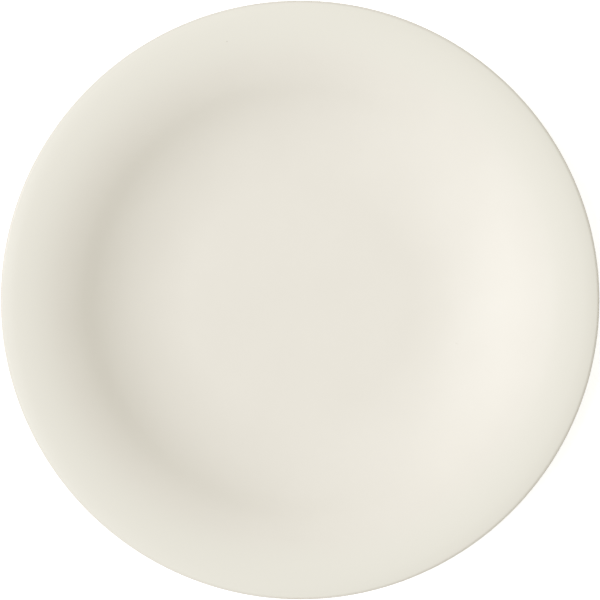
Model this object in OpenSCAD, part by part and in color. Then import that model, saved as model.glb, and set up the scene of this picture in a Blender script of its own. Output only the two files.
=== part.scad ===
// Coupe dinner plate: a fired clay body on a ring foot, sealed in a skin of glaze.
// Millimetres, +Z up, with the origin on the table, at the middle of the foot ring.
// Each outline is a list of [radius, height] points, which is turned round the Z axis.

/* [Face] */
// Diameter over the lip
plate_d = 270; // [250:1:290]
// How far the lip reaches out past the crest, which is the highest circle of the rim
overhang = 7.5; // [5:0.1:10]
// Radius of the rim's roll, from the crest out to the lip
roll_r = 32; // [20:1:60]
// Width of the shoulder, from the straight wall out to the crest
shoulder_w = 30.5; // [24:0.5:38]
// Width of the straight wall, which is the steepest part of the face
wall_w = 3; // [1:0.5:6]
// Width of the bend, from the cove out to the straight wall
bend_w = 18; // [14:0.5:24]
// Width of the cove, from the flat floor out to the bend
cove_w = 24; // [18:0.5:30]
// Slope of the straight wall, in degrees
wall_angle = 30; // [24:0.5:34]
// Slope where the cove meets the bend, in degrees
cove_angle = 14; // [10:0.5:18]

/* [Wall] */
// Thickness of the floor, with its glaze
floor_t = 4.6; // [3.8:0.1:6]
// Thickness of the rim, with its glaze
rim_t = 3.8; // [3:0.1:5]

/* [Foot ring] */
// How far the middle of the foot ring lies outside the flat floor
foot_out = 26; // [18:0.5:34]
// Width of the face that the foot ring rests on
foot_w = 3; // [2:0.1:5]
// Height of the recess inside the foot ring, at the plate's axis
foot_h = 2.6; // [2:0.1:4]
// Slope of the foot ring's flanks from the vertical, in degrees
foot_draft = 15; // [5:1:25]
// Radius of the two edges of the resting face
foot_edge = 0.8; // [0.4:0.1:1.2]
// Radius of the fillets between the flanks and the back, in the clay
foot_fillet = 4; // [2:0.1:5]

/* [Glaze] */
// Thickness of the glaze
glaze_t = 0.3; // [0.2:0.05:0.5]
// Height of the foot ring's bare clay, below the glaze
bare_h = 1.5; // [1.2:0.1:2]

/* [Hidden] */
$fn = 180;
// Largest gap between an arc and its chords
arc_tol = 0.004;
clay_colour = [0.88, 0.85, 0.79];
glaze_colour = [0.91, 0.90, 0.85];
// The two sides of the foot ring
OUTER = 1;
INNER = -1;

// Face: flat floor, cove, tighter bend, straight wall, shoulder, roll and lip, each tangent to the next
lip_r = rim_t / 2;
crest_r = plate_d / 2 - overhang;
well_r = crest_r - shoulder_w - wall_w - bend_w - cove_w;
cove_r = cove_w / sin(cove_angle);
bend_r = bend_w / (sin(wall_angle) - sin(cove_angle));
shoulder_r = shoulder_w / sin(wall_angle);
roll_angle = asin((overhang - lip_r) / (roll_r - lip_r));
cove_rise = cove_w * tan(cove_angle / 2);
bend_rise = bend_w * tan((cove_angle + wall_angle) / 2);
wall_rise = wall_w * tan(wall_angle);
shoulder_rise = shoulder_w * tan(wall_angle / 2);
well_depth = cove_rise + bend_rise + wall_rise + shoulder_rise;
floor_z = foot_h + floor_t;
crest_z = floor_z + well_depth;
cove_c = [well_r, floor_z + cove_r];
bend_c = cove_c + (cove_r - bend_r) * heading(cove_angle - 90);
shoulder_c = [crest_r, crest_z - shoulder_r];
roll_c = [crest_r, crest_z - roll_r];
lip_c = roll_c + (roll_r - lip_r) * heading(90 - roll_angle);

// Back: as steep as the face, and thinning from the floor to the rim
back_shoulder_r = shoulder_r - rim_t;
back_cove_r = (well_depth + floor_t - rim_t - wall_rise) / (1 - cos(wall_angle)) - back_shoulder_r;
back_well_r = crest_r - wall_w - (back_shoulder_r + back_cove_r) * sin(wall_angle);
back_c = [back_well_r, foot_h + back_cove_r];
foot_r = well_r + foot_out;

function heading(angle) = [cos(angle), sin(angle)];

// Points along an arc round c. The first is left out, because the stretch before ends there.
function arc(c, r, from, to) =
    let (chord = sqrt(8 * r * arc_tol), steps = ceil(abs(to - from) * PI / 180 * r / chord))
    [for (i = [1 : steps]) c + r * heading(from + (to - from) * i / steps)];

function angle_of(v) = atan2(v[1], v[0]);

function reversed(points) = [for (i = [len(points) - 1 : -1 : 0]) points[i]];

// The foot ring's flanks: direction up a flank, direction out of it, and where it starts above its edge
function flank_up(side) = heading(90 - side * foot_draft);
function flank_out(side) = heading(90 - side * (90 + foot_draft));
function edge_c(side) = [foot_r + side * foot_w / 2, foot_edge];
function flank_start(side) = edge_c(side) + foot_edge * flank_out(side);

// Centre of the bead that ends the glaze on a flank, on the clay of that flank
function bead_c(side) =
    let (up = flank_up(side), start = flank_start(side))
    start + ((bare_h - start[1]) / up[1] + glaze_t) * up;

// The rounded end of the glaze on a flank, from its surface to the clay
function bead(side) =
    let (surface = 90 - side * (90 + foot_draft))
    concat(
        [bead_c(side) + glaze_t * flank_out(side)],
        arc(bead_c(side), glaze_t, surface, surface - side * 90)
    );

// Radius of a fillet in the clay, which leaves room for the bead below it
function fillet_r(side) =
    let (to_bead = bead_c(side) - back_c, clay_r = back_cove_r - glaze_t)
    min(foot_fillet, (to_bead * to_bead - clay_r ^ 2) / 2 / (clay_r - to_bead * flank_out(side)));

// Centre of the fillet that touches both the clay of a flank and the clay of the back
function fillet_c(side) =
    let (
        up = flank_up(side),
        start = flank_start(side) + fillet_r(side) * flank_out(side),
        reach = back_cove_r - glaze_t + fillet_r(side),
        along = (start - back_c) * up,
        rise = -along - sqrt(along ^ 2 - (start - back_c) * (start - back_c) + reach ^ 2)
    )
    start + rise * up;

// The fillet from the back to the flank, as deep in the glaze as depth says
function fillet(side, depth) =
    arc(
        fillet_c(side),
        fillet_r(side) - glaze_t + depth,
        angle_of(back_c - fillet_c(side)),
        90 + side * (90 - foot_draft)
    );

// From the axis over the face, round the lip and in over the back to the foot ring's outer flank.
// A depth of 0 is the surface of the glaze, and a depth of glaze_t is the clay under it.
function skin(depth) =
    concat(
        [[0, floor_z - depth], [well_r, floor_z - depth]],
        arc(cove_c, cove_r + depth, -90, cove_angle - 90),
        arc(bend_c, bend_r + depth, cove_angle - 90, wall_angle - 90),
        [shoulder_c + (shoulder_r - depth) * heading(90 + wall_angle)],
        arc(shoulder_c, shoulder_r - depth, 90 + wall_angle, 90),
        arc(roll_c, roll_r - depth, 90, 90 - roll_angle),
        arc(lip_c, lip_r - depth, 90 - roll_angle, -90 - roll_angle),
        arc(roll_c, roll_r - rim_t + depth, 90 - roll_angle, 90),
        arc(shoulder_c, back_shoulder_r + depth, 90, 90 + wall_angle),
        [back_c + (back_cove_r - depth) * heading(wall_angle - 90)],
        arc(back_c, back_cove_r - depth, wall_angle - 90, angle_of(fillet_c(OUTER) - back_c)),
        fillet(OUTER, depth)
    );

// From the axis over the recess to the foot ring's inner flank, with depth as above
function recess(depth) =
    concat(
        [[0, foot_h + depth], [back_well_r, foot_h + depth]],
        arc(back_c, back_cove_r - depth, -90, angle_of(fillet_c(INNER) - back_c)),
        fillet(INNER, depth)
    );

// The foot ring's bare end, from the outer flank round the resting face to the inner flank
function bare_foot() =
    concat(
        [flank_start(OUTER)],
        arc(edge_c(OUTER), foot_edge, -foot_draft, -90),
        [[foot_r - foot_w / 2, 0]],
        arc(edge_c(INNER), foot_edge, -90, foot_draft - 180)
    );

// The fired clay, with its foot ring in one piece
module ceramic_body() {
    color(clay_colour)
        rotate_extrude()
            polygon(concat(skin(glaze_t), bare_foot(), reversed(recess(glaze_t))));
}

// The glaze over the face, the lip and the back, down to the outside of the foot ring
module glaze_coat() {
    color(glaze_colour)
        rotate_extrude()
            polygon(concat(skin(0), bead(OUTER), reversed(skin(glaze_t))));
}

// The glaze inside the foot ring
module base_glaze() {
    color(glaze_colour)
        rotate_extrude()
            polygon(concat(recess(0), bead(INNER), reversed(recess(glaze_t))));
}

ceramic_body();
glaze_coat();
base_glaze();
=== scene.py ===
"""The looks of a coupe dinner plate: glazed clay on a white studio floor, seen from straight above.

The plate's own lengths are in millimetres, and its angles in degrees. The scene is in metres.
"""
from math import asin, atan2, ceil, cos, degrees, pi, radians, sin, sqrt, tan

import bmesh
import bpy
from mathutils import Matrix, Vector


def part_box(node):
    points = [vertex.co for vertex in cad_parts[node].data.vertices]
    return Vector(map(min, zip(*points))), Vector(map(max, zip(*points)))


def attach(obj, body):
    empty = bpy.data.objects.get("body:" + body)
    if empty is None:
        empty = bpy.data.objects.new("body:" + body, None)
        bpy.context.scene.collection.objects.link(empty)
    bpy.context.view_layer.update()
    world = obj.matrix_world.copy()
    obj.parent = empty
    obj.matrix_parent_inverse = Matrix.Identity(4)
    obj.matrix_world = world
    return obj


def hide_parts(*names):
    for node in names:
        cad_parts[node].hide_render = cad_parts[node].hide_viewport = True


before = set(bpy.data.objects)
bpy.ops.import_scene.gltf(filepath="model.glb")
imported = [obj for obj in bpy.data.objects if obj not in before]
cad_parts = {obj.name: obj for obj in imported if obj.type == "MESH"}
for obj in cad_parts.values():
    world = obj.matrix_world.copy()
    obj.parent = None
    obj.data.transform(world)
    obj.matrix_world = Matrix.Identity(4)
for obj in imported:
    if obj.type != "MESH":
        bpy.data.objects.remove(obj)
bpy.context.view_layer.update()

MM = 0.001

# The highest corners of the two solids, as they were packed
coat_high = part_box("glaze_coat")[1] / MM
clay_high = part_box("ceramic_body")[1] / MM

# Face of the plate
PLATE_R = coat_high.x
OVERHANG = 7.5
ROLL_R = 32
SHOULDER_W = 30.5
WALL_W = 3
BEND_W = 18
COVE_W = 24
COVE_ANGLE = 14
WALL_ANGLE = 30
FLOOR_T = 4.6
RIM_T = 3.8

# Foot ring
FOOT_OUT = 26
FOOT_W = 3
FOOT_DRAFT = 15
FOOT_EDGE = 0.8
FOOT_FILLET = 4
OUTER, INNER = 1, -1

# Glaze
GLAZE_T = coat_high.z - clay_high.z
BARE_H = 1.5

# How fine the meshes are: the segments of a turn, how far a chord may stray from its arc, and the steps
# along a straight stretch
SEGMENTS = 288
TURNS = [360 * i / SEGMENTS for i in range(SEGMENTS)]
ARC_TOL = 0.003
LINE_STEP = 4

# What the kiln leaves: the rim stands a little high at this angle and across from it, and low between
RIM_WARP = 0.12
RIM_WARP_ANGLE = 35

# What the sponge leaves: waves in the glaze's lower edge, each with its count, its height and its start
GLAZE_LINE_WAVES = ((3, 0.09, 40), (7, 0.05, 110), (16, 0.03, 10))


def heading(angle):
    """The direction at an angle from the radius, turning up."""
    return Vector((cos(radians(angle)), sin(radians(angle))))


# Face, worked out as in the plate's drawing
lip_r = RIM_T / 2
crest_r = PLATE_R - OVERHANG
crest_z = coat_high.z
well_r = crest_r - SHOULDER_W - WALL_W - BEND_W - COVE_W
cove_r = COVE_W / sin(radians(COVE_ANGLE))
bend_r = BEND_W / (sin(radians(WALL_ANGLE)) - sin(radians(COVE_ANGLE)))
shoulder_r = SHOULDER_W / sin(radians(WALL_ANGLE))
roll_angle = degrees(asin((OVERHANG - lip_r) / (ROLL_R - lip_r)))
cove_rise = COVE_W * tan(radians(COVE_ANGLE / 2))
bend_rise = BEND_W * tan(radians((COVE_ANGLE + WALL_ANGLE) / 2))
wall_rise = WALL_W * tan(radians(WALL_ANGLE))
shoulder_rise = SHOULDER_W * tan(radians(WALL_ANGLE / 2))
well_depth = cove_rise + bend_rise + wall_rise + shoulder_rise
floor_z = crest_z - well_depth
recess_z = floor_z - FLOOR_T
cove_c = Vector((well_r, floor_z + cove_r))
bend_c = cove_c + (cove_r - bend_r) * heading(COVE_ANGLE - 90)
shoulder_c = Vector((crest_r, crest_z - shoulder_r))
roll_c = Vector((crest_r, crest_z - ROLL_R))
lip_c = roll_c + (ROLL_R - lip_r) * heading(90 - roll_angle)

# Back and foot ring
back_shoulder_r = shoulder_r - RIM_T
back_rise = well_depth + FLOOR_T - RIM_T - wall_rise
back_cove_r = back_rise / (1 - cos(radians(WALL_ANGLE))) - back_shoulder_r
back_well_r = crest_r - WALL_W - (back_shoulder_r + back_cove_r) * sin(radians(WALL_ANGLE))
back_c = Vector((back_well_r, recess_z + back_cove_r))
foot_r = well_r + FOOT_OUT


def angle_of(direction):
    """The angle of a direction from the radius, turning up."""
    return degrees(atan2(direction.y, direction.x))


def arc(centre, radius, start, end):
    """Points along an arc, with the first left out, because the stretch before ends there."""
    chord = sqrt(8 * radius * ARC_TOL)
    steps = ceil(radians(abs(end - start)) * radius / chord)
    return [centre + radius * heading(start + (end - start) * i / steps) for i in range(1, steps + 1)]


def line(start, end):
    """Points along a straight stretch, with the first left out."""
    steps = ceil((end - start).length / LINE_STEP)
    return [start.lerp(end, i / steps) for i in range(1, steps + 1)]


def flank_up(side):
    """The direction up one of the foot ring's flanks."""
    return heading(90 - side * FOOT_DRAFT)


def flank_out(side):
    """The direction straight out of one of the foot ring's flanks."""
    return heading(90 - side * (90 + FOOT_DRAFT))


def edge_c(side):
    """Centre of the rounded edge between the resting face and a flank."""
    return Vector((foot_r + side * FOOT_W / 2, FOOT_EDGE))


def flank_start(side):
    """Where a flank starts, above its rounded edge."""
    return edge_c(side) + FOOT_EDGE * flank_out(side)


def fillet_c(side):
    """Centre of the fillet that touches both the clay of a flank and the clay of the back."""
    up = flank_up(side)
    start = flank_start(side) + FOOT_FILLET * flank_out(side)
    reach = back_cove_r - GLAZE_T + FOOT_FILLET
    from_centre = start - back_c
    along = from_centre @ up
    return start - (along + sqrt(along ** 2 - from_centre @ from_centre + reach ** 2)) * up


def fillet(side, depth):
    """The fillet from the back to a flank, as deep in the glaze as depth says."""
    centre = fillet_c(side)
    start = angle_of(back_c - centre)
    return arc(centre, FOOT_FILLET - GLAZE_T + depth, start, 90 + side * (90 - FOOT_DRAFT))


def skin(depth):
    """From the axis over the face, round the lip and in over the back to the foot's outer flank.

    A depth of 0 is the surface of the glaze, and a depth of GLAZE_T is the clay under it.
    """
    middle = Vector((0, floor_z - depth))
    return [
        middle,
        *line(middle, Vector((well_r, floor_z - depth))),
        *arc(cove_c, cove_r + depth, -90, COVE_ANGLE - 90),
        *arc(bend_c, bend_r + depth, COVE_ANGLE - 90, WALL_ANGLE - 90),
        shoulder_c + (shoulder_r - depth) * heading(90 + WALL_ANGLE),
        *arc(shoulder_c, shoulder_r - depth, 90 + WALL_ANGLE, 90),
        *arc(roll_c, ROLL_R - depth, 90, 90 - roll_angle),
        *arc(lip_c, lip_r - depth, 90 - roll_angle, -90 - roll_angle),
        *arc(roll_c, ROLL_R - RIM_T + depth, 90 - roll_angle, 90),
        *arc(shoulder_c, back_shoulder_r + depth, 90, 90 + WALL_ANGLE),
        back_c + (back_cove_r - depth) * heading(WALL_ANGLE - 90),
        *arc(back_c, back_cove_r - depth, WALL_ANGLE - 90, angle_of(fillet_c(OUTER) - back_c)),
        *fillet(OUTER, depth),
    ]


def recess(depth):
    """From the axis over the recess to the foot's inner flank, with depth as above."""
    middle = Vector((0, recess_z + depth))
    return [
        middle,
        *line(middle, Vector((back_well_r, recess_z + depth))),
        *arc(back_c, back_cove_r - depth, -90, angle_of(fillet_c(INNER) - back_c)),
        *fillet(INNER, depth),
    ]


def bead(side, turn):
    """The rounded end of the glaze on a flank, which wavers round the foot."""
    up = flank_up(side)
    start = flank_start(side)
    waver = sum(size * sin(radians(count * turn + side * late)) for count, size, late in GLAZE_LINE_WAVES)
    centre = start + ((BARE_H + waver - start.y) / up.y + GLAZE_T) * up
    surface = angle_of(flank_out(side))
    return [centre + GLAZE_T * flank_out(side), *arc(centre, GLAZE_T, surface, surface - side * 90)]


def bare_foot():
    """From the outer flank round the resting face to the inner flank."""
    return [
        flank_start(OUTER),
        *arc(edge_c(OUTER), FOOT_EDGE, -FOOT_DRAFT, -90),
        Vector((foot_r - FOOT_W / 2, 0)),
        *arc(edge_c(INNER), FOOT_EDGE, -90, FOOT_DRAFT - 180),
    ]


face_surface, face_clay = skin(0), skin(GLAZE_T)
recess_surface, recess_clay = recess(0), recess(GLAZE_T)


def clay_outline(turn):
    """The fired clay, which is the same at every turn."""
    return [*face_clay, *bare_foot(), *reversed(recess_clay)]


def coat_outline(turn):
    """The glaze over the face, the lip and the back."""
    return [*face_surface, *bead(OUTER, turn), *reversed(face_clay)]


def base_outline(turn):
    """The glaze inside the foot ring."""
    return [*recess_surface, *bead(INNER, turn), *reversed(recess_clay)]


def place(point, turn):
    """A point of an outline, turned to its place and lifted by the rim's warp."""
    out = max(0, (point.x - foot_r) / (PLATE_R - foot_r))
    lift = RIM_WARP * out ** 2 * cos(radians(2 * (turn - RIM_WARP_ANGLE)))
    across = point.x * heading(turn)
    return Vector((across.x, across.y, point.y + lift)) * MM


def lathe(name, outline, material, node):
    """A closed mesh, turned from an outline that starts and ends on the axis. It stands for a CAD node."""
    mesh = bmesh.new()
    first, *_, last = outline(0)
    start, end = mesh.verts.new(place(first, 0)), mesh.verts.new(place(last, 0))
    rows = [[start, *(mesh.verts.new(place(p, t)) for p in outline(t)[1:-1]), end] for t in TURNS]
    for here, there in zip(rows, rows[1:] + rows[:1]):
        for i in range(len(here) - 1):
            # Two of the corners are the same one on the axis, where the face is a triangle.
            corners = dict.fromkeys((here[i], there[i], there[i + 1], here[i + 1]))
            mesh.faces.new(corners).smooth = True
    bmesh.ops.recalc_face_normals(mesh, faces=mesh.faces)
    data = bpy.data.meshes.new(name)
    mesh.to_mesh(data)
    mesh.free()
    data.materials.append(material)
    piece = bpy.data.objects.new(name, data)
    bpy.context.scene.collection.objects.link(piece)
    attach(piece, "root")
    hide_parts(node)


def new_material(name):
    """A material with an empty node tree and its output."""
    material = bpy.data.materials.new(name)
    material.use_nodes = True
    material.node_tree.nodes.clear()
    return material, material.node_tree, material.node_tree.nodes.new("ShaderNodeOutputMaterial")


def add(tree, kind, settings=None, **sockets):
    """A node of that kind, with its settings and the values of its sockets, which have _ for a space."""
    node = tree.nodes.new(kind)
    for key, value in (settings or {}).items():
        setattr(node, key, value)
    for key, value in sockets.items():
        node.inputs[key.replace("_", " ")].default_value = value
    return node


# Nearly all of a noise lies between these two
NOISE_SPAN = (0.3, 0.7)


def noise(tree, spot, size, detail):
    """Soft noise round 0.5, with features about as large as size, in millimetres."""
    node = add(tree, "ShaderNodeTexNoise", Scale=1 / (size * MM), Detail=detail)
    tree.links.new(spot, node.inputs["Vector"])
    return node.outputs["Fac"]


def remap(tree, value, start, end, low=0, high=1):
    """The value, with start to end spread over low to high and held there beyond."""
    node = add(tree, "ShaderNodeMapRange", From_Min=start, From_Max=end, To_Min=low, To_Max=high)
    tree.links.new(value, node.inputs["Value"])
    return node.outputs["Result"]


def blend(tree, share, first, second):
    """The first colour, turned into the second as far as share says."""
    node = add(tree, "ShaderNodeMix", {"data_type": "RGBA"})
    tree.links.new(share, node.inputs["Factor"])
    first_in, second_in = (socket for socket in node.inputs if socket.type == "RGBA")
    for colour, socket in ((first, first_in), (second, second_in)):
        if isinstance(colour, tuple):
            socket.default_value = (*colour, 1)
        else:
            tree.links.new(colour, socket)
    return next(socket for socket in node.outputs if socket.type == "RGBA")


def times(tree, first, second):
    """The product of two values."""
    node = add(tree, "ShaderNodeMath", {"operation": "MULTIPLY"})
    tree.links.new(first, node.inputs[0])
    tree.links.new(second, node.inputs[1])
    return node.outputs[0]


def bump(tree, height, depth, below=None):
    """A bumped normal, where a height of 1 stands depth millimetres proud, on top of the bumps below."""
    node = add(tree, "ShaderNodeBump", Strength=1, Distance=depth * MM)
    tree.links.new(height, node.inputs["Height"])
    if below:
        tree.links.new(below, node.inputs["Normal"])
    return node.outputs["Normal"]


def distance_out(tree, spot):
    """How far a spot lies from the plate's axis."""
    level = add(tree, "ShaderNodeVectorMath", {"operation": "MULTIPLY"})
    level.inputs[1].default_value = (1, 1, 0)
    tree.links.new(spot, level.inputs[0])
    length = add(tree, "ShaderNodeVectorMath", {"operation": "LENGTH"})
    tree.links.new(level.outputs["Vector"], length.inputs[0])
    return length.outputs["Value"]


# Glaze: its colours, and where it turns from one to the next, as millimetres below the crest, in from the
# edge of the lip and up from the glaze's lower edge. The crest colour is painted light, a lighter band
# along the top of the rim, and the lip colour is painted shade, a darker line round the lip's edge.
GLAZE_PALE = (0.833, 0.800, 0.7145)
GLAZE_DEEP = (0.823, 0.789, 0.7035)
GLAZE_CREST_PAINTED_LIGHT = (0.831, 0.806, 0.716)
GLAZE_LIP_PAINTED_SHADE = (0.75, 0.71, 0.62)
GLAZE_THIN = (0.64, 0.54, 0.40)
CLOUD_SIZE = 26
CREST_LIGHT_FADE = (3.2, 0.4)
LIP_SHADE_FADE = (1.4, 0.3)
THIN_FADE = (0, 0.9)
GLAZE_ROUGHNESS = (0.08, 0.16)
GLAZE_IOR = 1.5
RIPPLE_SIZE, RIPPLE_DEPTH = 14, 0.007
PEEL_SIZE, PEEL_DEPTH = 0.9, 0.0007

# Specks: their tone, the room for each, their size, the share of the rooms that hold one and its strength
SPECK = (0.42, 0.36, 0.27)
SPECK_CELL = 5.5
SPECK_R = 0.34
SPECK_CORE_R = SPECK_R / 3
SPECK_SHARE = 0.035
SPECK_STRENGTH = 0.55


def specks(tree, spot):
    """How strongly the few iron specks show through the glaze, and 0 round them."""
    cells = add(tree, "ShaderNodeTexVoronoi", Scale=1 / (SPECK_CELL * MM))
    tree.links.new(spot, cells.inputs["Vector"])
    edge, core = SPECK_R / SPECK_CELL, SPECK_CORE_R / SPECK_CELL
    near = remap(tree, cells.outputs["Distance"], edge, core, high=SPECK_STRENGTH)
    parts = add(tree, "ShaderNodeSeparateColor")
    tree.links.new(cells.outputs["Color"], parts.inputs["Color"])
    picked = add(tree, "ShaderNodeMath", {"operation": "LESS_THAN"})
    picked.inputs[1].default_value = SPECK_SHARE
    tree.links.new(parts.outputs["Red"], picked.inputs[0])
    return times(tree, near, picked.outputs[0])


def glaze_colour(tree, spot):
    """Off-white, faintly clouded and specked, and deeper where it thins above the foot.

    The crest is painted lighter, as painted light, and the edge of the lip darker, as painted shade.
    """
    parts = add(tree, "ShaderNodeSeparateXYZ")
    tree.links.new(spot, parts.inputs["Vector"])
    height = parts.outputs["Z"]
    cloud = remap(tree, noise(tree, spot, CLOUD_SIZE, detail=4), *NOISE_SPAN)
    # Painted light: the glaze turns lighter and a little greener towards the crest.
    crest = remap(tree, height, *((crest_z - down) * MM for down in CREST_LIGHT_FADE))
    # Painted shade: the glaze turns darker along the lip's outer edge.
    lip = remap(tree, distance_out(tree, spot), *((PLATE_R - inside) * MM for inside in LIP_SHADE_FADE))
    thin = remap(tree, height, *((BARE_H + up) * MM for up in THIN_FADE), low=1, high=0)
    colour = blend(tree, cloud, GLAZE_DEEP, GLAZE_PALE)
    colour = blend(tree, crest, colour, GLAZE_CREST_PAINTED_LIGHT)
    colour = blend(tree, lip, colour, GLAZE_LIP_PAINTED_SHADE)
    colour = blend(tree, specks(tree, spot), colour, SPECK)
    return blend(tree, thin, colour, GLAZE_THIN)


def glaze_material():
    """Opaque, glossy off-white glaze with a slight ripple and the finest of orange peel."""
    material, tree, output = new_material("off_white_glaze")
    spot = add(tree, "ShaderNodeTexCoord").outputs["Object"]
    rough = remap(tree, noise(tree, spot, 2 * RIPPLE_SIZE, detail=3), *NOISE_SPAN, *GLAZE_ROUGHNESS)
    ripple = bump(tree, noise(tree, spot, RIPPLE_SIZE, detail=1), RIPPLE_DEPTH)
    peel = bump(tree, noise(tree, spot, PEEL_SIZE, detail=2), PEEL_DEPTH, ripple)
    shader = add(tree, "ShaderNodeBsdfPrincipled", IOR=GLAZE_IOR)
    tree.links.new(glaze_colour(tree, spot), shader.inputs["Base Color"])
    tree.links.new(rough, shader.inputs["Roughness"])
    tree.links.new(peel, shader.inputs["Normal"])
    tree.links.new(shader.outputs["BSDF"], output.inputs["Surface"])
    return material


# Bare clay
CLAY_PALE = (0.74, 0.69, 0.59)
CLAY_DEEP = (0.62, 0.55, 0.44)
CLAY_CLOUD = 7
CLAY_ROUGHNESS = (0.68, 0.85)
CLAY_IOR = 1.45
GRIT = (0.40, 0.33, 0.25)
GRIT_SIZE, GRIT_DEPTH = 0.5, 0.05
GRIT_SPAN = (0.62, 0.72)
GRIT_STRENGTH = 0.6
RUB_SIZE, RUB_DEPTH = 0.35, 0.006

# How far the wave node turns in one unit, in radians
WAVE_TURN = 20


def rub_marks(tree, spot):
    """Uneven rings round the plate's axis, RUB_SIZE apart."""
    rings = add(
        tree,
        "ShaderNodeTexWave",
        {"wave_type": "RINGS", "rings_direction": "Z"},
        Scale=2 * pi / WAVE_TURN / (RUB_SIZE * MM),
        Distortion=2,
        Detail=2,
        Detail_Scale=4,
    )
    tree.links.new(spot, rings.inputs["Vector"])
    return rings.outputs["Fac"]


def clay_material():
    """Bare fired clay, gritty and a little cloudy, rubbed along the ring where the foot was ground."""
    material, tree, output = new_material("fired_clay")
    spot = add(tree, "ShaderNodeTexCoord").outputs["Object"]
    cloud = remap(tree, noise(tree, spot, CLAY_CLOUD, detail=5), *NOISE_SPAN)
    grain = noise(tree, spot, GRIT_SIZE, detail=3)
    grit = remap(tree, grain, *GRIT_SPAN, high=GRIT_STRENGTH)
    colour = blend(tree, grit, blend(tree, cloud, CLAY_DEEP, CLAY_PALE), GRIT)
    rubbed = bump(tree, rub_marks(tree, spot), RUB_DEPTH)
    shader = add(tree, "ShaderNodeBsdfPrincipled", IOR=CLAY_IOR)
    tree.links.new(colour, shader.inputs["Base Color"])
    tree.links.new(remap(tree, cloud, 0, 1, *CLAY_ROUGHNESS), shader.inputs["Roughness"])
    tree.links.new(bump(tree, grain, GRIT_DEPTH, rubbed), shader.inputs["Normal"])
    tree.links.new(shader.outputs["BSDF"], output.inputs["Surface"])
    return material


def studio_rays(tree):
    """1 for the rays that should meet a white background, and 0 for those that light the plate."""
    path = add(tree, "ShaderNodeLightPath")
    seen = add(tree, "ShaderNodeMath", {"operation": "MAXIMUM"})
    tree.links.new(path.outputs["Is Camera Ray"], seen.inputs[0])
    tree.links.new(path.outputs["Is Glossy Ray"], seen.inputs[1])
    either = add(tree, "ShaderNodeMath", {"operation": "MAXIMUM"})
    tree.links.new(seen.outputs[0], either.inputs[0])
    tree.links.new(path.outputs["Is Transmission Ray"], either.inputs[1])
    return either.outputs[0]


# Floor, in metres, with the glow that lifts it to white. It lies just under the foot, so that the two
# don't share a plane.
FLOOR_COLOUR = (0.85, 0.85, 0.85, 1)
FLOOR_LIFT = 0.64
FLOOR_R = 4
FLOOR_GAP = 0.00005


def floor_material():
    """White where nothing shades it, and clear from below."""
    material, tree, output = new_material("studio_floor")
    diffuse = add(tree, "ShaderNodeBsdfDiffuse", Color=FLOOR_COLOUR)
    glow = add(tree, "ShaderNodeEmission")
    lift = add(tree, "ShaderNodeMath", {"operation": "MULTIPLY"})
    lift.inputs[1].default_value = FLOOR_LIFT
    tree.links.new(studio_rays(tree), lift.inputs[0])
    tree.links.new(lift.outputs[0], glow.inputs["Strength"])
    above = add(tree, "ShaderNodeAddShader")
    tree.links.new(diffuse.outputs[0], above.inputs[0])
    tree.links.new(glow.outputs[0], above.inputs[1])
    either = add(tree, "ShaderNodeMixShader")
    tree.links.new(add(tree, "ShaderNodeNewGeometry").outputs["Backfacing"], either.inputs["Fac"])
    tree.links.new(above.outputs[0], either.inputs[1])
    tree.links.new(add(tree, "ShaderNodeBsdfTransparent").outputs[0], either.inputs[2])
    tree.links.new(either.outputs[0], output.inputs["Surface"])
    return material


def floor():
    """A ring of floor, open under the foot ring, so that the recess can be seen from below too."""
    inner_r = (foot_r + FOOT_W / 2) * MM
    points = [(*r * heading(turn), -FLOOR_GAP) for r in (inner_r, FLOOR_R) for turn in TURNS]
    following = [*range(1, SEGMENTS), 0]
    faces = [(i, SEGMENTS + i, SEGMENTS + j, j) for i, j in enumerate(following)]
    data = bpy.data.meshes.new("studio_floor")
    data.from_pydata(points, [], faces)
    data.materials.append(floor_material())
    piece = bpy.data.objects.new("studio_floor", data)
    bpy.context.scene.collection.objects.link(piece)


DOME_LEVEL = 0.489
DOME_TINT = (1, 0.974, 0.862, 1)
WHITE = (1, 1, 1, 1)


def dome():
    """A level dome, which is dimmer for the plate than for the rays that meet the background."""
    world = bpy.data.worlds.new("studio")
    bpy.context.scene.world = world
    world.use_nodes = True
    # The dome has two levels, so it isn't sampled as a lamp: only the rays that reach it take its light.
    world.cycles.sampling_method = "NONE"
    tree = world.node_tree
    tree.nodes.clear()
    output = add(tree, "ShaderNodeOutputWorld")
    light = add(tree, "ShaderNodeBackground", Color=DOME_TINT, Strength=DOME_LEVEL)
    white = add(tree, "ShaderNodeBackground", Color=WHITE, Strength=1)
    mix = add(tree, "ShaderNodeMixShader")
    tree.links.new(studio_rays(tree), mix.inputs["Fac"])
    tree.links.new(light.outputs[0], mix.inputs[1])
    tree.links.new(white.outputs[0], mix.inputs[2])
    tree.links.new(mix.outputs[0], output.inputs["Surface"])


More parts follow.
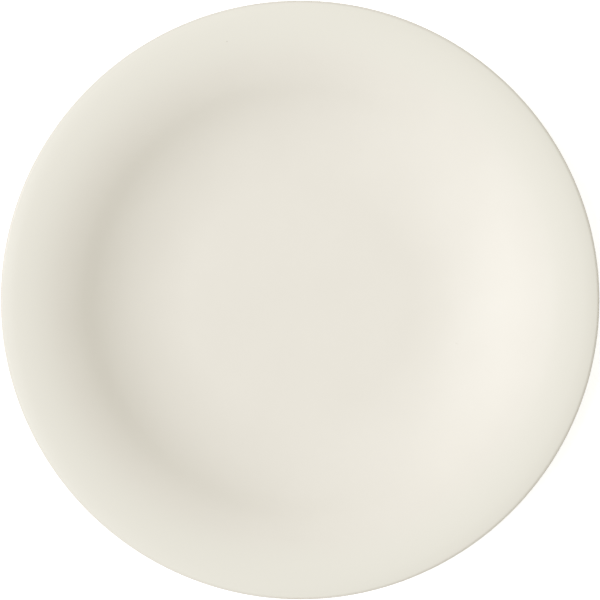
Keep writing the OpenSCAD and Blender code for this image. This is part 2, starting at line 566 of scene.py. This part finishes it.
def lamp(name, kind, turn, height, distance, **settings):
    """A lamp that faces the plate, from a turn round it, a height angle above the floor and a distance."""
    data = bpy.data.lights.new(name, kind)
    for key, value in settings.items():
        setattr(data, key, value)
    holder = bpy.data.objects.new(name, data)
    level = heading(turn) * cos(radians(height))
    towards = Vector((level.x, level.y, sin(radians(height))))
    holder.location = towards * distance
    holder.rotation_euler = towards.to_track_quat("Z", "Y").to_euler()
    holder.visible_camera = False
    bpy.context.scene.collection.objects.link(holder)
    return holder


WINDOW_TINT = (0.872, 0.895, 1)
WINDOW_SPREAD = 50


def diffuse_lamps():
    """A wide window light from the left and a weak lamp past the far edge, which leave no highlight."""
    window = lamp(
        "window_light",
        "SUN",
        turn=180,
        height=50,
        distance=3,
        energy=2.12,
        angle=radians(WINDOW_SPREAD),
        color=WINDOW_TINT,
    )
    far_edge = lamp("far_edge_lamp", "AREA", turn=90, height=50, distance=0.78, energy=0.25, size=0.3)
    window.visible_glossy = False
    far_edge.visible_glossy = False


def gloss_lamps():
    """A low lamp that glints on the glaze, and a tall one for a faint sheen on the right of the face."""
    glint = lamp(
        "glint_lamp",
        "AREA",
        turn=165,
        height=17,
        distance=6,
        energy=18,
        shape="RECTANGLE",
        size=1.8,
        size_y=0.7,
    )
    sheen = lamp(
        "sheen_lamp",
        "AREA",
        turn=176,
        height=52,
        distance=3,
        energy=0.7,
        shape="RECTANGLE",
        size=0.45,
        size_y=2.2,
        color=WINDOW_TINT,
    )
    glint.visible_diffuse = False
    sheen.visible_diffuse = False


# Lens and sensor, in millimetres
LENS = 135
SENSOR = 36

# How far the lip and the edge of the image lie from its middle, in pixels
LIP_PX, HALF_IMAGE_PX = 299.5, 300


def camera():
    """Straight above the plate, far enough for it to fill the frame from edge to edge."""
    data = bpy.data.cameras.new("camera")
    data.lens = LENS
    data.sensor_width = SENSOR
    holder = bpy.data.objects.new("camera", data)
    half_frame = PLATE_R * MM * HALF_IMAGE_PX / LIP_PX
    holder.location = (0, 0, lip_c.y * MM + half_frame * LENS / (SENSOR / 2))
    bpy.context.scene.collection.objects.link(holder)
    bpy.context.scene.camera = holder


glaze, clay = glaze_material(), clay_material()
lathe("clay_body", clay_outline, clay, "ceramic_body")
lathe("face_and_back_glaze", coat_outline, glaze, "glaze_coat")
lathe("foot_recess_glaze", base_outline, glaze, "base_glaze")
floor()
dome()
diffuse_lamps()
gloss_lamps()
camera()
bpy.context.scene.view_settings.view_transform = "Standard"
